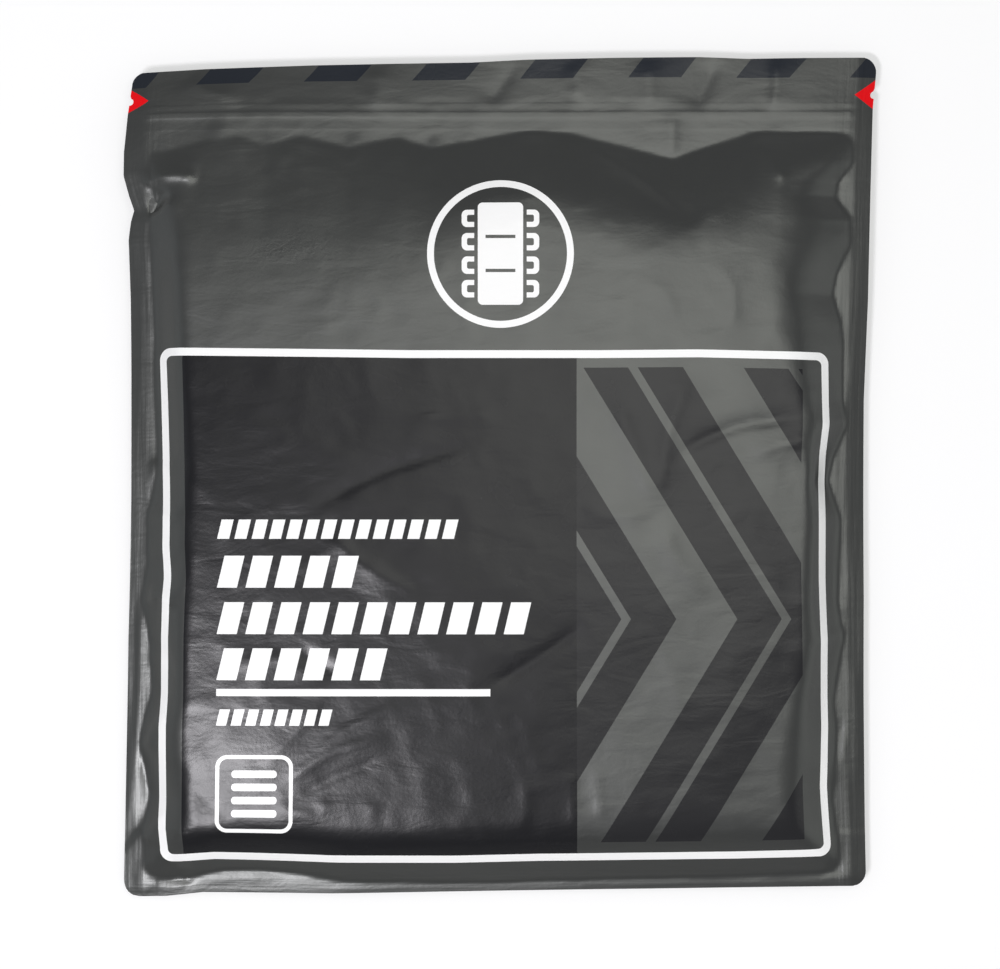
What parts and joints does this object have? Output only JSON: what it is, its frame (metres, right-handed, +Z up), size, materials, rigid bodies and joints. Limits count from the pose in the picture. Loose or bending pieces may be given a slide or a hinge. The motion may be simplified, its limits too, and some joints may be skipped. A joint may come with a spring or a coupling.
{
  "type": "packed casualty carry sheet",
  "caption": "Folded carry sheet with webbing handles, packed flat in a resealable laminated film pouch with bottom gusset, press-to-close zip and tear-off header.",
  "frame": {"origin": "on the surface the pouch lies on, under the middle of the pouch's outline", "axes": "+X to the right of the printed face, +Y towards the tear-off header and zip, +Z up out of the printed face"},
  "size_m": [0.2498, 0.278, 0.0207],
  "materials": {
    "laminate_film": "matt charcoal laminated film, heat sealed, with soft creases",
    "gusset_film": "matt charcoal laminated film, folded",
    "zip_plastic": "translucent grey extruded polyethylene",
    "sheet_cloth": "coated plain-weave cloth, folded",
    "webbing": "black woven webbing"
  },
  "bodies": {
    "pouch": {"front_panel": "laminate_film", "back_panel": "laminate_film", "bottom_gusset": "gusset_film", "zip_groove_strip": "zip_plastic", "carry_sheet": "sheet_cloth", "carry_handle_1": "webbing", "carry_handle_2": "webbing", "carry_handle_3": "webbing", "carry_handle_4": "webbing", "carry_handle_5": "webbing", "carry_handle_6": "webbing", "carry_handle_7": "webbing", "carry_handle_8": "webbing"},
    "mouth": {"front_lip": "laminate_film", "zip_tongue_strip": "zip_plastic"},
    "header": {"tear_strip_front": "laminate_film", "tear_strip_back": "laminate_film"}
  },
  "joints": [
    {"name": "mouth_open", "type": "hinge", "parent": "pouch", "child": "mouth", "pos_m": [0, 0.09022, 0.02057], "axis": [1, 0, 0], "range_deg": [0, 50], "deforming": ["zip_groove_strip"]},
    {"name": "tear_off", "type": "slide", "parent": "pouch", "child": "header", "axis": [0, 1, 0], "range_m": [0, 0.04]}
  ]
}
